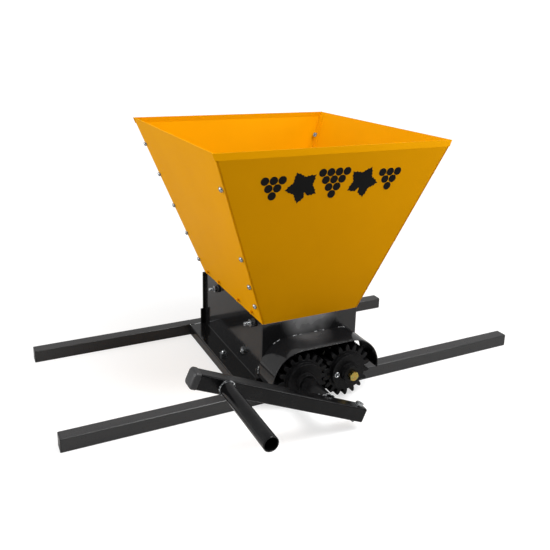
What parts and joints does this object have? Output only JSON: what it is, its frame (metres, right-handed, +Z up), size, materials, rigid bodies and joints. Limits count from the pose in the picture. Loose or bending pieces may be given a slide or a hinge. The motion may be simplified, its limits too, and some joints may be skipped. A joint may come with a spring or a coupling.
{
  "type": "grape crusher",
  "caption": "Hand-cranked grape crusher: a tapered sheet hopper on a roller box with two geared ribbed rollers, a crank and bars that rest across a vat.",
  "frame": {"origin": "on the ground plane, at the middle of the whole part's footprint (bars, hopper and crank at rest)", "axes": "+X along the bars, +Y towards the rear, away from the gears and crank, +Z up"},
  "size_m": [0.744, 0.553, 0.3757],
  "materials": {
    "bar_paint": "satin dark grey paint on steel tube",
    "black_gloss_paint": "gloss black paint on sheet steel",
    "crank_paint": "semi-gloss black paint on steel tube",
    "yellow_powder_coat": "semi-gloss amber yellow powder coat on sheet steel",
    "zinc_fastener": "bright zinc plate",
    "yellow_zinc_fastener": "yellow zinc plate",
    "ground_steel": "ground bar",
    "black_oxide_steel": "black oxide",
    "cast_aluminium": "cast",
    "nylon_bush": "turned nylon",
    "rubber_pad": "matt rubber",
    "moulded_cap": "moulded polyethylene"
  },
  "bodies": {
    "frame": {"front_bar": "bar_paint", "rear_bar": "bar_paint", "rear_leg": "bar_paint", "bar_end_plugs": "bar_paint", "left_rail": "black_gloss_paint", "right_rail": "black_gloss_paint", "front_plate": "black_gloss_paint", "rear_plate": "black_gloss_paint", "left_wall": "black_gloss_paint", "right_wall": "black_gloss_paint", "rail_bolts": "zinc_fastener", "rail_nuts": "zinc_fastener", "left_deflector": "black_gloss_paint", "right_deflector": "black_gloss_paint", "deflector_bolts": "zinc_fastener", "deflector_nuts": "zinc_fastener", "hopper_front": "yellow_powder_coat", "hopper_rear": "yellow_powder_coat", "hopper_left": "yellow_powder_coat", "hopper_right": "yellow_powder_coat", "hopper_screws": "zinc_fastener", "hopper_nuts": "zinc_fastener", "left_foot": "black_gloss_paint", "right_foot": "black_gloss_paint", "foot_rivets": "yellow_powder_coat", "foot_bolts": "zinc_fastener", "foot_pads": "rubber_pad", "foot_nuts": "zinc_fastener", "front_drive_bush": "nylon_bush", "front_idler_bush": "nylon_bush", "rear_drive_bush": "nylon_bush", "rear_idler_bush": "nylon_bush", "gear_guard": "black_gloss_paint"},
    "drive_train": {"drive_shaft": "ground_steel", "drive_roller": "cast_aluminium", "drive_pins": "zinc_fastener", "drive_gear": "black_oxide_steel", "drive_key": "zinc_fastener", "drive_gear_screw": "zinc_fastener", "drive_collar": "black_oxide_steel", "drive_collar_screw": "zinc_fastener", "crank_arm": "crank_paint", "crank_socket": "crank_paint", "crank_socket_screw": "zinc_fastener", "crank_handle": "crank_paint", "crank_cap": "moulded_cap", "crank_tail_bolt": "zinc_fastener"},
    "idler_train": {"idler_shaft": "ground_steel", "idler_roller": "cast_aluminium", "idler_pins": "zinc_fastener", "idler_gear": "black_oxide_steel", "idler_key": "zinc_fastener", "idler_gear_screw": "zinc_fastener", "idler_end_washer": "black_oxide_steel", "idler_end_bolt": "yellow_zinc_fastener", "idler_collar": "black_oxide_steel", "idler_collar_screw": "zinc_fastener"}
  },
  "joints": [
    {"name": "drive_spin", "type": "hinge", "parent": "frame", "child": "drive_train", "pos_m": [-0.043, 0.094, 0.0415], "axis": [0, 1, 0], "continuous": true},
    {"name": "idler_spin", "type": "hinge", "parent": "frame", "child": "idler_train", "pos_m": [0.029, 0.094, 0.0415], "axis": [0, 1, 0], "continuous": true}
  ],
  "couplings": [
    {"joint": "idler_spin", "follows": "drive_spin", "ratio": -1}
  ]
}
